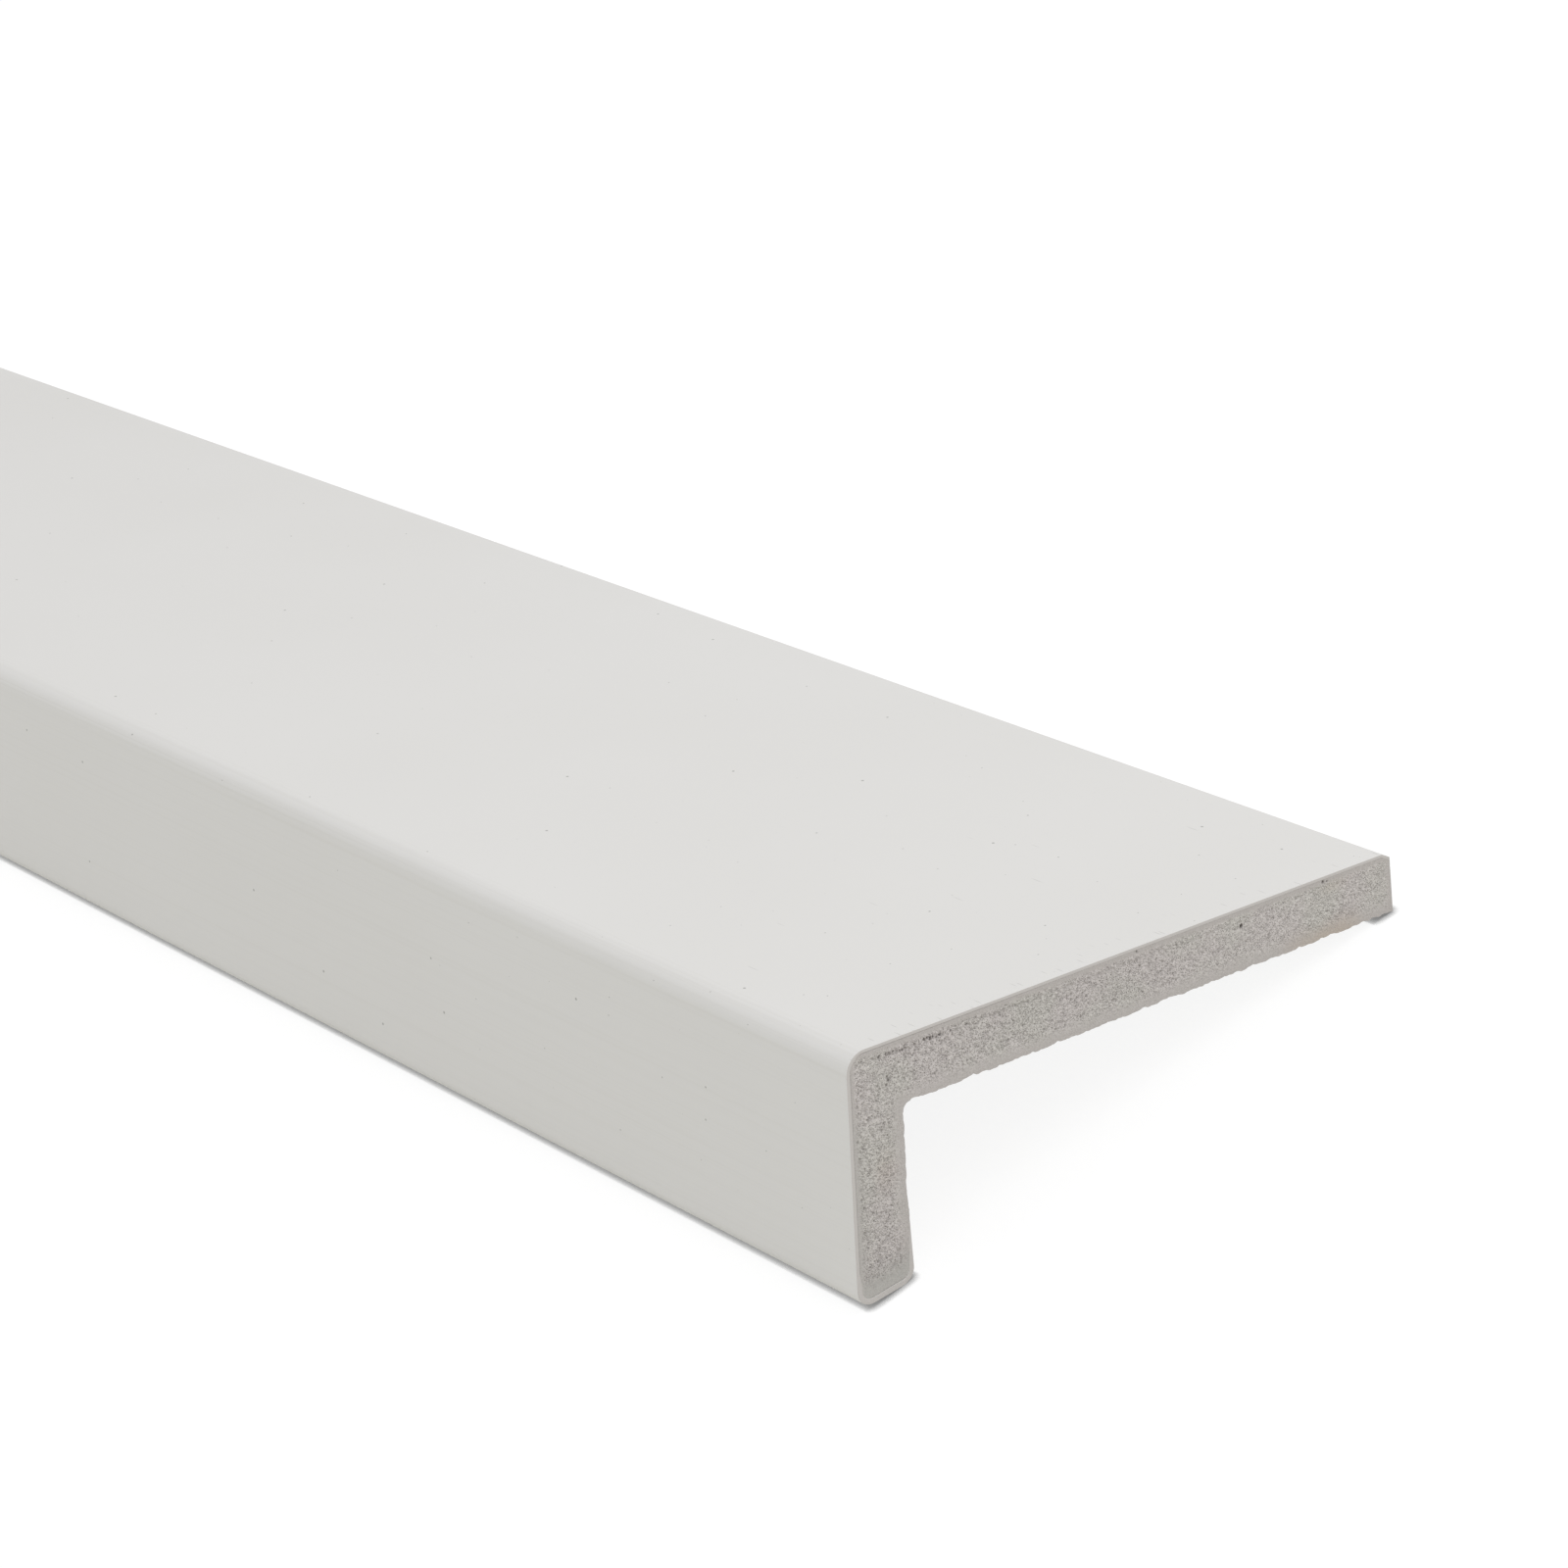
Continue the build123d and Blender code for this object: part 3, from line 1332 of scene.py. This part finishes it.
    def _open_cells(self, piece: Object) -> None:
        """Press the cells into the face and keep what its finish has to know."""
        places = coordinates(piece)[:, 1:]
        sides = self._sides(*places.T)
        field = self._field(sides)
        Mark.FIELD.write(piece, field)
        beside_skin = self.skin_shelter_share * sides.on_leg * self.skin_shelter.at(sides.skin)
        Mark.SHELTER.write(piece, np.maximum(self.toe_shelter.at(sides.toe), beside_skin))
        depth = self._depth(places, sides, field)
        deepest = depth.max()
        pressed, strength = weigh(piece, "depth", depth / deepest), -self.end.value * deepest
        add_modifier(
            piece, "DISPLACE", direction="X", strength=strength, mid_level=0.0, vertex_group=pressed
        )
        mean = depth.mean()
        log.info("%s: cells up to %.2f mm deep, %.3f mm in the mean", self.name, deepest / MM, mean / MM)
        # The kept depth also darkens the foam's colour in its finish, as painted shade in the pits and holes.
        Mark.DEPTH.write(piece, depth / self.full_depth)

    def _sides(self, across: np.ndarray, up: np.ndarray) -> Sides:
        """Return how far points of the face lie from its sides."""
        section, gauge = self.section, self.gauge
        toe = (up + section.leg_depth - across * tan(section.toe_bevel)) * cos(section.toe_bevel)
        toe = np.where(across < self.toe_width * section.toe_thickness, toe, section.leg_depth)
        skin = np.minimum.reduce([-up - gauge.on_face, across - gauge.on_leg, toe - gauge.round_toe])
        widths = section.leg_thickness, section.edge_bottom.across
        underside = up + np.interp(across, widths, (section.thickness_at_leg, section.thickness_at_edge))
        depths = section.toe_flare_start, -section.toe_inner.up
        inner = np.interp(-up, depths, (section.leg_thickness, section.toe_thickness)) - across
        bare = np.hypot(np.maximum(inner, 0), np.maximum(underside, 0))
        edge = section.edge_top.across + np.abs(up) * tan(section.edge_lean) - across
        return Sides(skin, bare, toe, edge, self.leg.at(-up))

    def _field(self, sides: Sides) -> np.ndarray:
        """Return how fully the cells are open, from 0 in the dense foam by the sides to 1."""
        bare_end = self.by_bare.end - self.narrower_on_leg * sides.on_leg
        field = self.by_skin.at(sides.skin) * at_least(self.dense_share, self.by_toe.at(sides.toe))
        field *= at_least(self.dense_share, Fade(self.by_bare.start, bare_end).at(sides.bare))
        return field * self.by_edge.at(sides.edge)

    def _depth(self, places: np.ndarray, sides: Sides, field: np.ndarray) -> np.ndarray:
        """Return how deep each point lies below the sawn face, in metres.

        Args:
            places: The points as rows of across and up, in metres.
            sides: How far they lie from the face's sides.
            field: How fully the cells are open at each one.

        Returns:
            The depth at each point.
        """
        across, up = places.T
        patches = np.array([noise.noise(Vector((*place, self.layer))) for place in places / self.patch_size])
        fine, coarse, row = (cells.depths(places, self.layer) for cells in (self.fine, self.coarse, self.row))
        fine = fine * field * at_least(self.patch_share, self.patches.at(patches))
        fine *= 1 - self.finer_share * self.finer.at(across)
        coarse = coarse * field * (self.coarse_share + self.coarse_leg_share * sides.on_leg)
        row *= Fade(self.row_reach, self.row_core * self.row_reach).at(np.abs(up + self.row_middle))
        row *= np.interp(across, self.row_across, self.row_strength)
        groove = self.groove_depth * self.groove.at(sides.skin)
        groove *= 1 - self.groove_loss * self.groove_end.at(across)
        holes = [hole.depths(across, up) for hole in self.holes]
        return np.maximum.reduce([fine, coarse, row, groove, *holes])

    def _close(self, piece: Object) -> None:
        """Give the face its thickness and close the back."""
        inwards = -self.end.value * self.slab
        bench = Bench(piece)
        bpy.ops.mesh.select_mode(type="EDGE")
        bpy.ops.mesh.select_non_manifold()
        bpy.ops.mesh.extrude_region_move(TRANSFORM_OT_translate={"value": (inwards, 0, 0)})
        bpy.ops.transform.resize(value=(0, 1, 1), center_override=(self.face_x + inwards, 0, 0))
        bpy.ops.mesh.edge_face_add()
        bench.face_outwards()
        bench.close()
        behind = np.abs(coordinates(piece)[:, 0] - self.face_x) > self.slab - TOUCHING
        Mark.BEHIND.write(piece, behind.astype(float))
        shade_smooth(piece, self.smooth_angle)


def outline_at(wall: Object, end: End) -> np.ndarray:
    """Return the open wall's rim at one end as points in order, across and up."""
    mesh = bmesh.new()
    mesh.from_mesh(wall.data)
    rim = {edge for edge in mesh.edges if edge.is_boundary and edge.verts[0].co.x * end.value > 0}
    start = next(iter(rim)).verts[0]
    points, here, edge = [], start, None
    while here is not start or not points:
        points.append(here.co.yz)
        edge = next(other for other in here.link_edges if other in rim and other is not edge)
        here = edge.other_vert(here)
    outline = np.array(points)
    mesh.free()
    return outline


def is_inside(points: np.ndarray, outline: np.ndarray) -> np.ndarray:
    """Return which points lie inside a closed outline, by counting the sides above each one."""
    inside = np.zeros(len(points), bool)
    for start, stop in zip(outline, np.roll(outline, -1, axis=0)):
        spans = (start[0] > points[:, 0]) != (stop[0] > points[:, 0])
        if spans.any():
            height = start[1] + (points[:, 0] - start[0]) * (stop[1] - start[1]) / (stop[0] - start[0])
            inside ^= spans & (points[:, 1] < height)
    return inside


# The studio


@dataclass(frozen=True)
class Studio:
    """A pale floor, soft light from above and all round, and the photograph's viewpoint."""

    floor_size: float = 40.0
    floor_bounce: Colour = (0.8, 0.795, 0.735, 1.0)
    floor_glow: float = 0.88
    floor_shade: float = 0.16
    # The contact settings make a painted contact shadow: ambient occlusion near the board darkens the floor's
    # glow.
    contact_reach: float = 1.25 * MM
    contact_samples: int = 4
    painted_contact_shadow: Fade = Fade(0.86, 0.66)
    contact_shadow_depth: float = 0.8
    sky: float = 0.84
    lamp_share: float = 0.28
    lamp_height: float = 1.3
    lamp_size: float = 0.9
    lamp_lean: float = radians(29.0)
    lamp_along: float = 1.8
    standpoint: Vector = Vector((1659.4, -288.4, 347.7)) * MM
    aim: Vector = Vector((1165.4, 11.8, 20.9)) * MM
    roll: float = radians(-17.68)
    lens: float = 101.02
    sensor: float = 36.0

    def seen_directly(self, sheet: Sheet) -> Socket:
        """Return 1 for what the camera sees straight, mirrored or through glass, and otherwise 0."""
        path = sheet.add("ShaderNodeLightPath")
        mirrored = sheet.maths("MAXIMUM", path.outputs["Is Glossy Ray"], path.outputs["Is Transmission Ray"])
        return sheet.maths("MAXIMUM", path.outputs["Is Camera Ray"], mirrored)

    def lay_floor(self) -> None:
        """Lay the floor, which looks white, keeps a light shadow of the board and has a painted contact
        shadow where the board touches it.
        """
        bpy.ops.object.select_all(action="DESELECT")
        bpy.ops.mesh.primitive_plane_add(size=self.floor_size, location=(0, 0, 0))
        floor = bpy.context.object
        floor.name = "floor"
        floor.data.materials.append(self._floor_material())

    def _floor_material(self) -> bpy.types.Material:
        """Return the floor's material: what lights the board, and what the camera sees."""
        material = bpy.data.materials.new("studio_floor")
        material.use_nodes = True
        sheet = Sheet(material.node_tree)
        sheet.tree.nodes.clear()
        bounce = sheet.feed(sheet.add("ShaderNodeBsdfDiffuse"), Color=self.floor_bounce)
        shade = sheet.feed(sheet.add("ShaderNodeBsdfDiffuse"), Color=grey(self.floor_shade))
        # Painted contact shadow: ambient occlusion close to the board takes away part of the floor's glow.
        beside = sheet.add("ShaderNodeAmbientOcclusion", samples=self.contact_samples)
        sheet.feed(beside, Distance=self.contact_reach)
        closed = sheet.times(sheet.ramp(beside.outputs["AO"], self.painted_contact_shadow), self.contact_shadow_depth)
        open_share = sheet.times(sheet.maths("SUBTRACT", 1.0, closed), self.floor_glow)
        glow = sheet.feed(sheet.add("ShaderNodeEmission"), Strength=open_share)
        white = sheet.add("ShaderNodeAddShader")
        sheet.put(white.inputs, shade.outputs[0], glow.outputs[0])
        either = sheet.add("ShaderNodeMixShader")
        sheet.put(either.inputs, self.seen_directly(sheet), bounce.outputs[0], white.outputs[0])
        sheet.feed(sheet.add("ShaderNodeOutputMaterial"), Surface=either.outputs[0])
        return material

    def hang_sky(self) -> None:
        """Light the room from all round, with white behind the board."""
        world = bpy.data.worlds.new("studio_sky")
        world.use_nodes = True
        bpy.context.scene.world = world
        sheet = Sheet(world.node_tree)
        sheet.tree.nodes.clear()
        colour = sheet.blend(self.seen_directly(sheet), grey(self.sky), grey(1.0))
        background = sheet.feed(sheet.add("ShaderNodeBackground"), Color=colour)
        sheet.feed(sheet.add("ShaderNodeOutputWorld"), Surface=background.outputs[0])

    def hang_lamp(self) -> None:
        """Hang the large soft lamp over the board, leaning to the free edge's side."""
        lean = Vector((0, sin(self.lamp_lean), cos(self.lamp_lean)))
        middle = Vector((self.lamp_along, 0, 0))
        bpy.ops.object.light_add(type="AREA", location=middle + lean * self.lamp_height)
        lamp = bpy.context.object
        lamp.name = "soft_lamp"
        lamp.rotation_euler = (-lean).to_track_quat("-Z", "Y").to_euler()
        lamp.data.size = self.lamp_size
        lamp.data.energy = self.lamp_share * pi**2 * self.lamp_height**2

    def stand_camera(self) -> None:
        """Stand the camera at the photograph's viewpoint."""
        turned = (self.aim - self.standpoint).to_track_quat("-Z", "Y").to_matrix().to_4x4()
        bpy.ops.object.camera_add()
        camera = bpy.context.object
        rolled = Matrix.Rotation(self.roll, 4, "Z")
        camera.matrix_world = Matrix.Translation(self.standpoint) @ turned @ rolled
        camera.data.lens = self.lens
        camera.data.sensor_width = self.sensor
        bpy.context.scene.camera = camera

    def set_up(self) -> None:
        """Set up the whole studio."""
        self.lay_floor()
        self.hang_sky()
        self.hang_lamp()
        self.stand_camera()
        bpy.context.scene.view_settings.view_transform = "Standard"


def main() -> None:
    """Build the board's parts, dress them and set up the studio."""
    logging.basicConfig(level=logging.INFO, format="%(name)s: %(message)s")
    section, gauge = Section(), SkinGauge()
    low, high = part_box(BOARD_NODE)
    lying = Lying.in_box(section, low, high)
    log.info("tips by %.3f degrees", degrees(lying.turn))
    common = {"section": section, "gauge": gauge, "lying": lying, "length": high.x - low.x}
    effects = Effects(lying)
    half_length = common["length"] / 2 / MM
    skin_finish = SkinFinish(half_length).make(effects)
    foam, back_finish = FoamFinish(half_length).make(effects), BackFinish().make(effects)

    skin = OuterSkin(**common)
    skin.hand_over(skin.build(), skin_finish, Slot.WHITE_SKIN)

    back = FoamedBack(**common)
    wall = back.build_wall()
    shown = SawnEnd(**common, end=End.SAWN, name="sawn_end", holes=SHOWN_HOLES)
    far = SawnEnd(**common, end=End.FAR, name="far_end", layer=31.7)
    for sawn in (shown, far):
        sawn.hand_over(sawn.build(wall), foam, Slot.FOAM_CORE)
    back.hand_over(back.close_body(wall), back_finish, Slot.FOAMED_BACK)

    Studio().set_up()


if __name__ == "__main__":
    main()
